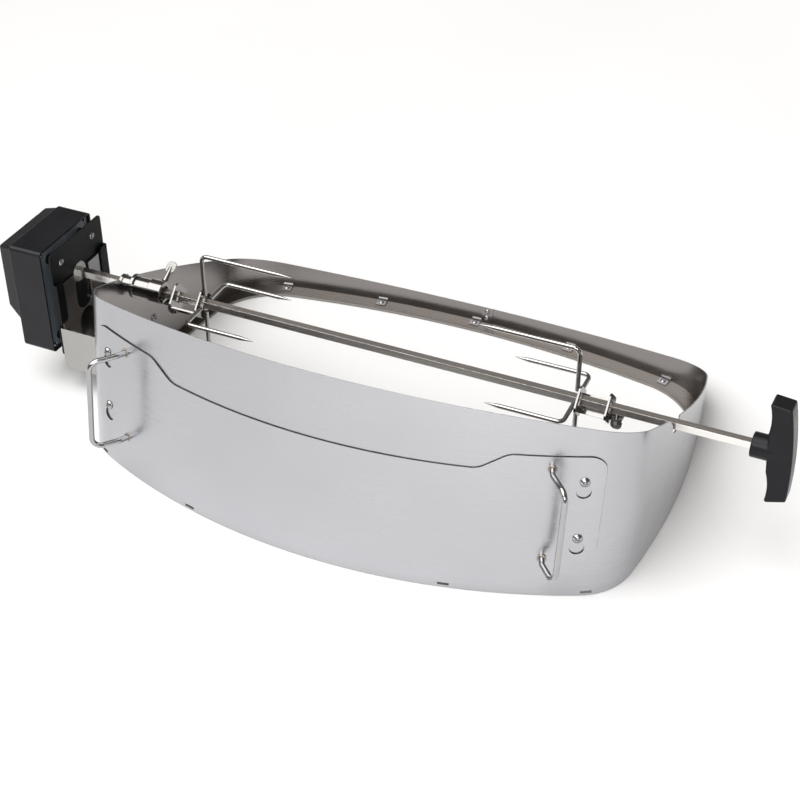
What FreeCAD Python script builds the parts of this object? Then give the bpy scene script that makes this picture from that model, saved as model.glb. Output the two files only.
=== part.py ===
import FreeCAD, Part
import math
import os

# Rotisserie spit roaster: a wedge-shaped collar of sheet steel that stands on a grill, with a
# spit, two meat forks, a gear motor on the left end and a lift-off panel at the front.
# Millimetres, +Z up, +X along the spit towards its handle, +Y to the back of the grill.

V = FreeCAD.Vector

# ---- the whole object: from the collar's centre to the centre of the object's box
MODEL_SHIFT = V(9.15, -1.83, 0)

# ---- collar: the plan is a chain of tangent arcs, the wall leans back, the rim falls to the back
COLLAR_WIDTH = 640.0
COLLAR_DEPTH = 465.0
FRONT_RADIUS = 660.0
BACK_RADIUS = 1275.0
END_RADIUS = 800.0
FRONT_CORNER = 66.0
BACK_CORNER = 68.0
SHEET = 1.2
LEAN = 8.3
RIM_HEIGHT = 123.4
RIM_SLOPE = 0.433
SEAM_X = 13.0
SEAM_WIDTH = 14.0
WINDOW_HALF_WIDTH = 205.0
WINDOW_BOTTOM = 24.0
WINDOW_TOP = 124.0
WINDOW_CORNER = 16.0

# ---- seat ring: the flat flange that lies on the grill, held by lanced tabs
SEAT_SIDE = 9.0
SEAT_FRONT = 21.0
SEAT_CORNER_EXTRA = 18.0
SEAT_LIP = 3.0
TAB_WIDTH = 12.0
TAB_LENGTH = 13.0
BACK_TABS = (-248.0, -124.0, 0.0, 124.0, 248.0)
FRONT_TABS = (-279.0, -145.0, 145.0, 279.0)

# ---- front panel, its keyhole screws and its handles
PANEL_GAP = 0.4
PANEL_HALF_WIDTH = 283.0
PANEL_BOTTOM = 8.0
PANEL_TOP = 141.5
PANEL_SHOULDER = 159.5
SHOULDER_OUT = 196.0
SHOULDER_IN = 168.0
CHAMFER_X = 234.0
CHAMFER_Z = 54.0
SCREW_X = 264.8
SCREW_Z = (132.0, 68.3)
KEYHOLE_DROP = 11.0
KEYHOLE_RADIUS = 7.5
KEYHOLE_SLOT = 5.6
SCREW_SHANK = 2.35
SCREW_HEAD = 5.2
GRIP_WIRE = 3.0
LEG_X = 234.9
LEG_Z = (146.0, 45.0)
GRIP_OUT = 24.5
GRIP_FORWARD = 31.7
LEG_STUB = 11.0

# ---- spit
SPIT_Y = -34.6
SPIT_Z = 129.3
SPIT_SIZE = 8.0
SPIT_LEFT = -399.5
SPIT_RIGHT = 424.0
NOTCH_RADIUS = 9.4
NOTCH_FLARE = 14.5

# ---- bushing that turns in the left notch
BUSHING_STOP = 10.2
BUSHING_NECK = 9.0
BUSHING_FLANGE = 13.8
BUSHING_BODY = 11.2
BUSHING_HEAD = 12.9
BUSHING_BORE = 5.8
BUSHING_COUNTERBORE = 8.0
BUSHING_STEPS = (-325.6, -322.4, -310.5, -306.5, -288.0, -271.5)
BUSHING_SCREW_X = -277.0
BUSHING_SCREW_TILT = 31.0

# ---- forks
FORK_SPIDER_X = 216.0
FORK_PLATE_X = 248.0
FORK_DIAGONAL = 20.0
FORK_CORNER = 2.5
FORK_DROP = 2.0
FORK_HOLE = 9.0
FORK_SHEET = 2.0
LEFT_FORK_OUT = 5.5
TINE_RADIUS = 2.4
TINE_LONG = (61.5, 109.0)
TINE_SHORT = (44.0, 84.0)
TINE_POINT = 16.0
TINE_ROOT = 10.5
TAB_DROP = 8.6
FORK_SCREW_X = 256.9
WING_HALF_THICK = 1.8

# ---- T handle
BOSS_START = 395.0
BOSS_RADIUS = 13.0
GRIP_START = 411.6
GRIP_END = 433.6
GRIP_BULGE = 3.5
GRIP_HALF_LENGTH = 55.7
GRIP_END_SLOPE = 4.2
GRIP_HALF_THICK = 12.4
GRIP_LEAN = 5.6
GRIP_TURN = 6.7

# ---- motor and its bracket
PLATE_X = -383.0
PLATE_HALF_WIDTH = 51.0
PLATE_BOTTOM = 44.0
PLATE_TOP = 177.0
PLATE_SHEET = 1.5
LIP_BOTTOM = 88.0
LIP_TOP = 139.0
LIP_WIDTH = 13.0
CASE_RIM_X = -396.5
CASE_BACK_X = -437.5
CASE_BULGE_X = -453.5
CASE_WALL = 2.0
BULGE_BOTTOM = (33.0, 48.0)
COVER_X = -400.0
COVER_THICK = 2.0
BRACKET_SHEET = 2.0
BRACKET_HALF = 50.4
SHELF_Z = 82.0
FLANGE_BOTTOM = 28.4
FINGER_TOP = 133.5
FINGER_HALF = 46.0
BRACKET_SLOT = 14.6
BOLT_OFFSET = 42.4
BOLT_Z = (57.0, 41.0)
TAIL_END = 140.0
TAIL_TOP = 36.0
TAIL_BOTTOM = 8.0
TAIL_BOLT_Y = 128.0
TAIL_BOLT_Z = 18.0
HUB_RADIUS = 12.0
JOURNAL_RADIUS = 6.0
SOCKET = 8.4
GEAR_PLATE_X = -416.0
STATOR_X = (-430.0, -417.0)

# ---- gear train: teeth, module, centres measured from the spit's axis
OUTPUT_TEETH = 48
IDLER_PINION_TEETH = 12
OUTPUT_MODULE = 1.5
IDLER_TEETH = 40
ROTOR_TEETH = 10
IDLER_MODULE = 1.0
ROTOR_ANGLE = -30.0

# ---- rocker switch on the back of the motor
SWITCH_Z = 142.0
SWITCH_HALF_WIDTH = 6.5
SWITCH_HALF_HEIGHT = 10.0
ROCKER_TILT = 7.0
ROCKER_DEPTH = 4.0


# ======================================================================= small shape helpers
def box(x0, x1, y0, y1, z0, z1):
    return Part.makeBox(x1 - x0, y1 - y0, z1 - z0, V(x0, y0, z0))


def cylinder_x(x0, x1, radius, y=0.0, z=0.0):
    return Part.makeCylinder(radius, x1 - x0, V(x0, y, z), V(1, 0, 0))


def fuse(shapes):
    whole = shapes[0]
    for shape in shapes[1:]:
        whole = whole.fuse(shape)
    return whole.removeSplitter()


def turned(shape, axis, degrees, centre=V(0, 0, 0)):
    copy = shape.copy()
    copy.rotate(centre, axis, degrees)
    return copy


def moved(shape, offset):
    copy = shape.copy()
    copy.translate(offset)
    return copy


def rounded_wire(corners, closed):
    """Straight runs joined by tangent arcs; corners are (point, radius) pairs."""
    count = len(corners)
    edges = []
    start = None
    first = None
    for i, (point, radius) in enumerate(corners):
        if not closed and i in (0, count - 1):
            entry = leave = point
            arc = None
        else:
            before = (corners[i - 1][0] - point).normalize()
            after = (corners[(i + 1) % count][0] - point).normalize()
            half = before.getAngle(after) / 2
            reach = radius / math.tan(half)
            entry = point + before * reach
            leave = point + after * reach
            middle = point + (before + after).normalize() * (radius / math.sin(half) - radius)
            arc = Part.Arc(entry, middle, leave).toShape() if radius > 0 else None
        if start is not None and start.distanceToPoint(entry) > 1e-6:
            edges.append(Part.makeLine(start, entry))
        if arc is not None:
            edges.append(arc)
        if first is None:
            first = entry
        start = leave
    if closed and start.distanceToPoint(first) > 1e-6:
        edges.append(Part.makeLine(start, first))
    return Part.Wire(edges)


def wire_rod(corners, radius):
    """A round rod bent along straight runs and tangent arcs."""
    path = rounded_wire(corners, closed=False)
    start = corners[0][0]
    direction = corners[1][0] - start
    ring = Part.Wire(Part.makeCircle(radius, start, direction))
    return path.makePipeShell([ring], True, True)


def domed_head(radius, height, x0=0.0):
    """A low round screw head along +X with a cross recess."""
    sphere_radius = (radius * radius + height * height) / (2 * height)
    ball = Part.makeSphere(sphere_radius, V(x0 + height - sphere_radius, 0, 0))
    head = ball.common(cylinder_x(x0, x0 + height + 1, radius))
    for angle in (0, 90):
        blade = box(x0 + height * 0.45, x0 + height + 1, -0.5, 0.5, -radius * 0.5, radius * 0.5)
        head = head.cut(turned(blade, V(1, 0, 0), angle))
    return head


def hex_nut(x0, x1, across_flats, bore):
    corner = across_flats / math.sqrt(3)
    points = [V(x0, corner * math.cos(math.radians(60 * i)), corner * math.sin(math.radians(60 * i)))
              for i in range(7)]
    nut = Part.Face(Part.makePolygon(points)).extrude(V(x1 - x0, 0, 0))
    return nut.cut(cylinder_x(x0 - 1, x1 + 1, bore))


# ======================================================================= the collar's plan
def circles_meet(c1, r1, c2, r2, lower):
    """The meeting point of two circles with the lower or the higher y."""
    gap = c2 - c1
    along = (r1 * r1 - r2 * r2 + gap.Length ** 2) / (2 * gap.Length)
    across = math.sqrt(r1 * r1 - along * along)
    unit = V(gap).normalize()
    side = V(-unit.y, unit.x, 0)
    ends = [c1 + unit * along + side * across, c1 + unit * along - side * across]
    ends.sort(key=lambda p: p.y)
    return ends[0] if lower else ends[1]


class Plan:
    """A closed plan of eight tangent arcs: front, back, two ends and four corners."""

    def __init__(self, width, depth, front, back, end, front_corner, back_corner):
        self.front = (V(0, front - depth / 2, 0), front)
        self.back = (V(0, depth / 2 - back, 0), back)
        self.end = (V(width / 2 - end, 0, 0), end)
        fc = circles_meet(self.front[0], front - front_corner, self.end[0], end - front_corner, True)
        bc = circles_meet(self.back[0], back - back_corner, self.end[0], end - back_corner, False)
        self.front_corner = (fc, front_corner)
        self.back_corner = (bc, back_corner)

    @staticmethod
    def touch(big, small, offset):
        centre, radius = big
        return centre + (small[0] - centre).normalize() * (radius + offset)

    def wire(self, offset=0.0):
        """The plan's outline, moved outwards by offset."""
        p1 = self.touch(self.front, self.front_corner, offset)
        p2 = self.touch(self.end, self.front_corner, offset)
        p3 = self.touch(self.end, self.back_corner, offset)
        p4 = self.touch(self.back, self.back_corner, offset)

        def corner_middle(corner, a, b):
            centre, radius = corner
            return centre + ((a + b) * 0.5 - centre).normalize() * (radius + offset)

        def flip(p):
            return V(-p.x, p.y, p.z)

        front_middle = self.front[0] - V(0, self.front[1] + offset, 0)
        back_middle = self.back[0] + V(0, self.back[1] + offset, 0)
        end_middle = self.end[0] + V(self.end[1] + offset, 0, 0)
        m1 = corner_middle(self.front_corner, p1, p2)
        m2 = corner_middle(self.back_corner, p3, p4)
        arcs = [(flip(p1), front_middle, p1), (p1, m1, p2), (p2, end_middle, p3), (p3, m2, p4),
                (p4, back_middle, flip(p4)), (flip(p4), flip(m2), flip(p3)),
                (flip(p3), flip(end_middle), flip(p2)), (flip(p2), flip(m1), flip(p1))]
        return Part.Wire([Part.Arc(a, m, b).toShape() for a, m, b in arcs])

    def prism(self, offset, z0, z1):
        solid = Part.Face(self.wire(offset)).extrude(V(0, 0, z1 - z0))
        return moved(solid, V(0, 0, z0))

    def spot(self, side, value):
        """Point and outward normal on the outline: by x on the front or back, by y on an end."""
        if side in ("front", "back"):
            sign = -1 if side == "front" else 1
            big = self.front if side == "front" else self.back
            small = self.front_corner if side == "front" else self.back_corner
            centre, radius = big
            if abs(value) > self.touch(big, small, 0).x:
                centre, radius = small
            across = abs(value) - centre.x
            up = sign * math.sqrt(radius * radius - across * across)
            point = V(value, centre.y + up, 0)
            normal = V(math.copysign(across, value), up, 0) * (1 / radius)
            return point, normal
        centre, radius = self.end
        across = math.sqrt(radius * radius - value * value)
        sign = 1 if side == "right" else -1
        return V(sign * (centre.x + across), value, 0), V(sign * across / radius, value / radius, 0)


COLLAR_PLAN = Plan(COLLAR_WIDTH, COLLAR_DEPTH, FRONT_RADIUS, BACK_RADIUS, END_RADIUS,
                   FRONT_CORNER, BACK_CORNER)
SIN_LEAN = math.sin(math.radians(LEAN))
COS_LEAN = math.cos(math.radians(LEAN))


def leaned(shape):
    return turned(shape, V(1, 0, 0), -LEAN)


def wall_band(inner, outer):
    """The space between two offsets of the leaning wall, from below the base to above the rim."""
    band = COLLAR_PLAN.prism(outer, -120, 330).cut(COLLAR_PLAN.prism(inner, -120, 330))
    return leaned(band)


def wall_spot(side, value, z, offset=0.0):
    """Point on the wall at height z, and its outward normal."""
    flat, normal = COLLAR_PLAN.spot(side, value)
    flat = flat + normal * offset
    point = V(flat.x, (flat.y + z * SIN_LEAN) / COS_LEAN, z)
    return point, V(normal.x, normal.y * COS_LEAN, -normal.y * SIN_LEAN)


def on_wall(shape, side, value, z, offset=0.0):
    """Put a shape made about the origin, with +X outwards and +Z up, onto the wall."""
    flat, normal = COLLAR_PLAN.spot(side, value)
    point, _ = wall_spot(side, value, z, offset)
    angle = math.degrees(math.atan2(normal.y, normal.x))
    return moved(leaned(turned(shape, V(0, 0, 1), angle)), point)


def seat_spots():
    for x in BACK_TABS:
        yield "back", x
    for x in FRONT_TABS:
        yield "front", x


def over_seat(shape, side, value):
    """Put a level shape, with +X outwards, at the foot of the wall."""
    point, normal = wall_spot(side, value, 0)
    angle = math.degrees(math.atan2(normal.y, normal.x))
    return moved(turned(shape, V(0, 0, 1), angle), point)


def panel_screw_spots():
    for x in (-SCREW_X, SCREW_X):
        for z in SCREW_Z:
            yield x, z


def flat_y(y, z):
    """The plan's y for a point at height z on the leaning wall."""
    return y * COS_LEAN - z * SIN_LEAN


def bracket_bolt_spots():
    for side in (-1, 1):
        for z in BOLT_Z:
            yield flat_y(SPIT_Y + side * BOLT_OFFSET, z), z
    yield flat_y(TAIL_BOLT_Y, TAIL_BOLT_Z), TAIL_BOLT_Z


# ======================================================================= collar and seat ring
def make_collar():
    wall = wall_band(-SHEET, 0)
    strip = box(SEAM_X - SEAM_WIDTH / 2, SEAM_X + SEAM_WIDTH / 2, 100, 400, SHEET + 0.1, 400)
    wall = wall.fuse(wall_band(-2 * SHEET, -SHEET).common(strip))
    wall = wall.cut(box(-500, 500, -500, 500, -300, 0))
    reach = 500
    above = [V(-500, -reach, RIM_HEIGHT + RIM_SLOPE * reach), V(-500, reach, RIM_HEIGHT - RIM_SLOPE * reach),
             V(-500, reach, 600), V(-500, -reach, 600)]
    wall = wall.cut(Part.Face(Part.makePolygon(above + above[:1])).extrude(V(1000, 0, 0)))

    tabs = []
    for side, value in seat_spots():
        half = TAB_WIDTH / 2
        tab = box(-TAB_LENGTH, -SHEET / 2, -half, half, SHEET + 0.05, 2 * SHEET)
        wall = wall.cut(over_seat(box(-4, 4, -half, half, 2 * SHEET, 2 * SHEET + 2.8), side, value))
        tabs.append(over_seat(tab.cut(seat_screw_hole()), side, value))
    wall = fuse([wall] + tabs)

    rim = RIM_HEIGHT - RIM_SLOPE * SPIT_Y
    notch = cylinder_x(-400, 400, NOTCH_RADIUS, SPIT_Y, SPIT_Z)
    notch = notch.fuse(box(-400, 400, SPIT_Y - NOTCH_RADIUS, SPIT_Y + NOTCH_RADIUS, SPIT_Z, 300))
    flare = [V(-400, SPIT_Y - NOTCH_RADIUS, rim - 6), V(-400, SPIT_Y + NOTCH_RADIUS, rim - 6),
             V(-400, SPIT_Y + 2 * NOTCH_FLARE, rim + 20), V(-400, SPIT_Y - 2 * NOTCH_FLARE, rim + 20)]
    notch = notch.fuse(Part.Face(Part.makePolygon(flare + flare[:1])).extrude(V(800, 0, 0)))
    wall = wall.cut(notch)

    corners = [(V(x, -400, z), WINDOW_CORNER)
               for x, z in ((-WINDOW_HALF_WIDTH, WINDOW_BOTTOM), (WINDOW_HALF_WIDTH, WINDOW_BOTTOM),
                            (WINDOW_HALF_WIDTH, WINDOW_TOP), (-WINDOW_HALF_WIDTH, WINDOW_TOP))]
    wall = wall.cut(Part.Face(rounded_wire(corners, True)).extrude(V(0, 350, 0)))

    for x, z in panel_screw_spots():
        wall = wall.cut(on_wall(cylinder_x(-8, 8, SCREW_SHANK + 0.1), "front", x, z))
    for y, z in bracket_bolt_spots():
        wall = wall.cut(on_wall(cylinder_x(-8, 8, 2.6), "left", y, z))
    for z in seam_rivet_heights():
        wall = wall.cut(on_wall(cylinder_x(-8, 8, 1.6), "back", SEAM_X, z))
    return wall


def seam_rivet_heights():
    return (8.0, 16.0)


def make_seam_rivets():
    rivet = cylinder_x(-2 * SHEET - 0.2, 0.2, 1.55)
    dome = Part.makeSphere(4.0, V(2.2, 0, 0)).common(cylinder_x(-6, 0, 3.0))
    inner = moved(dome, V(-2 * SHEET - 0.02, 0, 0))
    outer = moved(turned(dome, V(0, 0, 1), 180), V(0.02, 0, 0))
    rivet = fuse([rivet, inner, outer])
    return Part.makeCompound([on_wall(rivet, "back", SEAM_X, z) for z in seam_rivet_heights()])


def seat_screw_hole():
    return Part.makeCylinder(1.7, 10, V(-TAB_LENGTH + 5.5, 0, -3))


def make_seat_ring():
    floor = leaned(COLLAR_PLAN.prism(-SHEET - 0.05, -120, 330))
    opening = Plan(COLLAR_WIDTH - 2 * SEAT_SIDE, COLLAR_DEPTH - 2 * SEAT_FRONT,
                   FRONT_RADIUS - SEAT_FRONT, BACK_RADIUS - SEAT_FRONT, END_RADIUS - SEAT_SIDE,
                   FRONT_CORNER + SEAT_CORNER_EXTRA, BACK_CORNER + SEAT_CORNER_EXTRA)
    ring = floor.common(box(-500, 500, -500, 500, 0, SHEET)).cut(opening.prism(0, -10, 10))
    lip = opening.prism(SHEET, 0, SEAT_LIP).cut(opening.prism(0, -10, 10))
    ring = fuse([ring, lip])
    for side, value in seat_spots():
        ring = ring.cut(over_seat(seat_screw_hole(), side, value))
    return ring


def make_seat_screws():
    head = turned(domed_head(3.2, 1.7), V(0, 1, 0), -90)
    screw = moved(head, V(0, 0, 2 * SHEET)).fuse(Part.makeCylinder(1.6, 2 * SHEET - 0.1, V(0, 0, 0.1)))
    screw = moved(screw, V(-TAB_LENGTH + 5.5, 0, 0))
    return Part.makeCompound([over_seat(screw, side, value) for side, value in seat_spots()])


# ======================================================================= front panel
def make_front_panel():
    half = [(CHAMFER_X, PANEL_BOTTOM, 10), (PANEL_HALF_WIDTH, CHAMFER_Z, 8),
            (PANEL_HALF_WIDTH, PANEL_SHOULDER, 15), (SHOULDER_OUT, PANEL_SHOULDER, 22),
            (SHOULDER_IN, PANEL_TOP, 22)]
    outline = half + [(-x, z, r) for x, z, r in reversed(half)]
    wire = rounded_wire([(V(x, -400, z), r) for x, z, r in outline], True)
    panel = wall_band(PANEL_GAP, PANEL_GAP + SHEET).common(Part.Face(wire).extrude(V(0, 350, 0)))
    for x, z in panel_screw_spots():
        half_slot = KEYHOLE_SLOT / 2
        keyhole = fuse([cylinder_x(-8, 8, half_slot), box(-8, 8, -half_slot, half_slot, -KEYHOLE_DROP, 0),
                        moved(cylinder_x(-8, 8, KEYHOLE_RADIUS), V(0, 0, -KEYHOLE_DROP))])
        panel = panel.cut(on_wall(keyhole, "front", x, z))
    return panel


def make_panel_handle(side):
    corners = []
    for z, inner in ((LEG_Z[0], True), (LEG_Z[1], False)):
        foot, normal = wall_spot("front", side * LEG_X, z, PANEL_GAP + SHEET)
        root = (foot - normal * 2.0, 0)
        stub = (foot + normal * LEG_STUB, 8)
        turn = (V(foot.x + side * GRIP_OUT, foot.y - GRIP_FORWARD, z), 11)
        corners += [root, stub, turn] if inner else [turn, stub, root]
    inside = leaned(COLLAR_PLAN.prism(PANEL_GAP + SHEET, -120, 330))
    return wire_rod(corners, GRIP_WIRE).cut(inside)


def make_panel_screws():
    lift = PANEL_GAP + SHEET + 0.35
    screw = cylinder_x(-SHEET - 5.5, lift, SCREW_SHANK).fuse(domed_head(SCREW_HEAD, 3.0, lift))
    return Part.makeCompound([on_wall(screw, "front", x, z) for x, z in panel_screw_spots()])


def make_panel_nuts():
    nut = hex_nut(-SHEET - 4.3, -SHEET - 0.3, 8.0, SCREW_SHANK + 0.05)
    return Part.makeCompound([on_wall(nut, "front", x, z) for x, z in panel_screw_spots()])


# ======================================================================= motor bracket
def make_motor_bracket():
    y0 = SPIT_Y - BRACKET_HALF
    y1 = SPIT_Y + BRACKET_HALF
    x1 = PLATE_X + 0.3 + BRACKET_SHEET
    x0 = x1 - BRACKET_SHEET
    foot_z = SHELF_Z - BRACKET_SHEET
    outline = [(V(x0, SPIT_Y - FINGER_HALF, foot_z), 0), (V(x0, SPIT_Y + FINGER_HALF, foot_z), 0),
               (V(x0, SPIT_Y + FINGER_HALF, FINGER_TOP), 4), (V(x0, SPIT_Y - FINGER_HALF, FINGER_TOP), 4)]
    fingers = Part.Face(rounded_wire(outline, True)).extrude(V(BRACKET_SHEET, 0, 0))
    slot_z = SHELF_Z + 0.5 + BRACKET_SLOT
    fingers = fingers.cut(cylinder_x(x0 - 1, x1 + 1, BRACKET_SLOT, SPIT_Y, slot_z))
    fingers = fingers.cut(box(x0 - 1, x1 + 1, SPIT_Y - BRACKET_SLOT, SPIT_Y + BRACKET_SLOT, slot_z, 300))
    shelf = box(x0, -250, y0, y1, SHELF_Z - BRACKET_SHEET, SHELF_Z)
    front = box(x0, -250, y0, y0 + BRACKET_SHEET, FLANGE_BOTTOM, SHELF_Z)
    back = box(x0, -250, y1 - BRACKET_SHEET, y1, FLANGE_BOTTOM, SHELF_Z)
    arm = fuse([shelf, front, back]).cut(leaned(COLLAR_PLAN.prism(1.0, -120, 330)))
    pad = box(-350, -250, y0, y1, FLANGE_BOTTOM, SHELF_Z)
    tail = box(-350, -250, y0 + 20, TAIL_END, TAIL_BOTTOM, TAIL_TOP)
    foot = wall_band(0.05, 0.05 + BRACKET_SHEET).common(pad.fuse(tail))
    bracket = fuse([fingers, arm, foot])
    for y, z in bracket_bolt_spots():
        bracket = bracket.cut(on_wall(cylinder_x(-8, 8, 2.6), "left", y, z))
    return bracket


def make_bracket_bolts():
    """Dome-headed bolts, heads inside the collar, threads outwards through the bracket's foot."""
    head = turned(domed_head(5.0, 3.2), V(0, 0, 1), 180)
    bolt = moved(head, V(-SHEET - 0.05, 0, 0)).fuse(cylinder_x(-SHEET - 0.1, 9.0, 2.45))
    return Part.makeCompound([on_wall(bolt, "left", y, z) for y, z in bracket_bolt_spots()])


def make_bracket_nuts():
    x0 = 0.1 + BRACKET_SHEET
    washer = cylinder_x(x0, x0 + 1.0, 5.2).cut(cylinder_x(x0 - 1, x0 + 2, 2.55))
    nut = fuse([washer, hex_nut(x0 + 1.0, x0 + 5.0, 8.0, 2.5)])
    return Part.makeCompound([on_wall(nut, "left", y, z) for y, z in bracket_bolt_spots()])


# ======================================================================= motor
MOTOR_MIDDLE_Z = (PLATE_BOTTOM + PLATE_TOP) / 2
OUTPUT_CENTRE = V(0, SPIT_Y, SPIT_Z)
IDLER_DISTANCE = OUTPUT_MODULE * (OUTPUT_TEETH + IDLER_PINION_TEETH) / 2
ROTOR_DISTANCE = IDLER_MODULE * (IDLER_TEETH + ROTOR_TEETH) / 2
IDLER_CENTRE = OUTPUT_CENTRE - V(0, 0, IDLER_DISTANCE)
ROTOR_CENTRE = IDLER_CENTRE + V(0, math.cos(math.radians(ROTOR_ANGLE)),
                                math.sin(math.radians(ROTOR_ANGLE))) * ROTOR_DISTANCE


def motor_rectangle(x, inset_side, inset_top, inset_bottom, radius):
    y0 = SPIT_Y - PLATE_HALF_WIDTH + inset_side
    y1 = SPIT_Y + PLATE_HALF_WIDTH - inset_side
    z0 = PLATE_BOTTOM + inset_bottom
    z1 = PLATE_TOP - inset_top
    return rounded_wire([(V(x, y, z), radius) for y, z in ((y0, z0), (y1, z0), (y1, z1), (y0, z1))], True)


def make_motor_plate():
    x0 = PLATE_X - PLATE_SHEET
    plate = Part.Face(motor_rectangle(x0, 0, 0, 0, 5)).extrude(V(PLATE_SHEET, 0, 0))
    pieces = [plate]
    lip_x = PLATE_X + BRACKET_SHEET + 0.6
    for side in (-1, 1):
        edge = SPIT_Y + side * PLATE_HALF_WIDTH
        free = edge - side * LIP_WIDTH
        wall = sorted((edge, edge - side * PLATE_SHEET))
        pieces.append(box(x0, lip_x + PLATE_SHEET, wall[0], wall[1], LIP_BOTTOM, LIP_TOP))
        lip = rounded_wire([(V(lip_x, edge, LIP_BOTTOM), 0), (V(lip_x, free, LIP_BOTTOM), 5),
                            (V(lip_x, free, LIP_TOP), 5), (V(lip_x, edge, LIP_TOP), 0)], True)
        pieces.append(Part.Face(lip).extrude(V(PLATE_SHEET, 0, 0)))
    plate = fuse(pieces)
    plate = plate.cut(cylinder_x(x0 - 1, PLATE_X + 1, HUB_RADIUS + 0.6, SPIT_Y, SPIT_Z))
    for y, z in spacer_spots():
        plate = plate.cut(cylinder_x(x0 - 1, PLATE_X + 1, 2.2, y, z))
    return plate


def spacer_spots():
    return [(SPIT_Y - 31, 159.0), (SPIT_Y + 31, 159.0), (SPIT_Y - 31, 58.0), (SPIT_Y + 31, 58.0)]


def make_plate_screws():
    screw = domed_head(4.2, 2.4).fuse(cylinder_x(-14, 0.1, 2.0))
    return Part.makeCompound([moved(screw, V(PLATE_X, y, z)) for y, z in spacer_spots()])


def make_plate_spacers():
    rings = []
    for y, z in spacer_spots():
        ring = cylinder_x(COVER_X, PLATE_X - PLATE_SHEET, 6.0, y, z)
        rings.append(ring.cut(cylinder_x(PLATE_X - 15, PLATE_X + 1, 2.05, y, z)))
    return Part.makeCompound(rings)


def make_motor_case():
    body = Part.Face(motor_rectangle(CASE_BACK_X, 0, 0, 0, 5)).extrude(V(CASE_RIM_X - CASE_BACK_X, 0, 0))
    back_edges = [e for e in body.Edges if abs(e.BoundBox.XMax - CASE_BACK_X) < 0.01]
    body = body.makeFillet(1.8, back_edges)
    low, high = BULGE_BOTTOM
    bulge = Part.makeLoft([motor_rectangle(CASE_BACK_X - 0.01, 2, 2, low, 3),
                           motor_rectangle(CASE_BULGE_X, 5, 5, high, 3)], True, True)
    bulge_edges = [e for e in bulge.Edges if abs(e.BoundBox.XMax - CASE_BULGE_X) < 0.01]
    bulge = bulge.makeFillet(1.5, bulge_edges)
    root = Part.Face(motor_rectangle(CASE_BACK_X - 0.02, 2, 2, low, 3)).extrude(V(CASE_WALL, 0, 0))
    solid = fuse([body, bulge, root])
    w = CASE_WALL
    room = Part.Face(motor_rectangle(CASE_BACK_X + w, w, w, w, 3.5)).extrude(V(60, 0, 0))
    pocket = Part.makeLoft([motor_rectangle(CASE_BACK_X + w + 0.1, 2 + 2 * w, 2 + 2 * w, low + 2 * w, 2),
                            motor_rectangle(CASE_BULGE_X + w, 5 + w, 5 + w, high + w, 2)], True, True)
    case = solid.cut(room).cut(pocket)
    for y, z in case_screw_spots():
        post = cylinder_x(CASE_BACK_X + 1, COVER_X - COVER_THICK - 0.1, 4.5, y, z)
        case = case.fuse(post.cut(cylinder_x(COVER_X - 22, COVER_X, 1.6, y, z)))
    case = case.cut(Part.makeCylinder(6.2, 20, V(-418, SPIT_Y + 30, PLATE_BOTTOM - 10)))
    case = case.cut(switch_block(CASE_BULGE_X - 1, CASE_BULGE_X + 6, 1.5))
    return case.removeSplitter()


def case_screw_spots():
    return [(SPIT_Y + s * 43.0, MOTOR_MIDDLE_Z + t * 60.0) for s in (-1, 1) for t in (-1, 1)]


def make_motor_cover():
    cover = Part.Face(motor_rectangle(COVER_X - COVER_THICK, CASE_WALL + 0.2, CASE_WALL + 0.2,
                                      CASE_WALL + 0.2, 4)).extrude(V(COVER_THICK, 0, 0))
    cover = cover.cut(cylinder_x(COVER_X - 5, COVER_X + 5, HUB_RADIUS + 2.5, SPIT_Y, SPIT_Z))
    for y, z in case_screw_spots():
        cover = cover.cut(cylinder_x(COVER_X - 5, COVER_X + 5, 1.9, y, z))
    return cover


def make_case_screws():
    screw = domed_head(3.4, 2.0).fuse(cylinder_x(-18, 0.1, 1.5))
    return Part.makeCompound([moved(screw, V(COVER_X, y, z)) for y, z in case_screw_spots()])


def make_hub_bearing():
    x0 = COVER_X - COVER_THICK
    sleeve = cylinder_x(x0, COVER_X + 2.0, HUB_RADIUS + 2.4, SPIT_Y, SPIT_Z)
    flange = cylinder_x(COVER_X + 0.05, COVER_X + 2.0, HUB_RADIUS + 5.0, SPIT_Y, SPIT_Z)
    return fuse([sleeve, flange]).cut(cylinder_x(x0 - 1, COVER_X + 3, HUB_RADIUS + 0.05, SPIT_Y, SPIT_Z))


def gear(teeth, module, x0, x1, bore, slack=0.25, half_step=False):
    """A spur gear along X about the origin, teeth thinned by slack for free running."""
    pitch = module * teeth / 2
    tip = pitch + 0.85 * module
    root = pitch - 1.15 * module
    step = 2 * math.pi / teeth
    quarter = step / 4
    wide = quarter * 1.35 - slack / pitch
    flank = quarter - slack / pitch
    narrow = quarter * 0.55 - slack / pitch / 2
    points = []
    for i in range(teeth):
        middle = (i + (0.5 if half_step else 0.0)) * step
        for radius, turn in ((root, -wide), (pitch, -flank), (tip, -narrow),
                             (tip, narrow), (pitch, flank), (root, wide)):
            angle = middle + turn
            points.append(V(x0, radius * math.cos(angle), radius * math.sin(angle)))
    blank = Part.Face(Part.makePolygon(points + points[:1])).extrude(V(x1 - x0, 0, 0))
    return blank.cut(cylinder_x(x0 - 1, x1 + 1, bore))


def make_drive_hub():
    hub = cylinder_x(-404.8, PLATE_X, HUB_RADIUS, SPIT_Y, SPIT_Z)
    journal = cylinder_x(GEAR_PLATE_X - 2.5, -404.8, JOURNAL_RADIUS, SPIT_Y, SPIT_Z)
    half = SOCKET / 2
    socket = box(-400.5, PLATE_X + 1, SPIT_Y - half, SPIT_Y + half, SPIT_Z - half, SPIT_Z + half)
    return fuse([hub, journal]).cut(socket)


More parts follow.
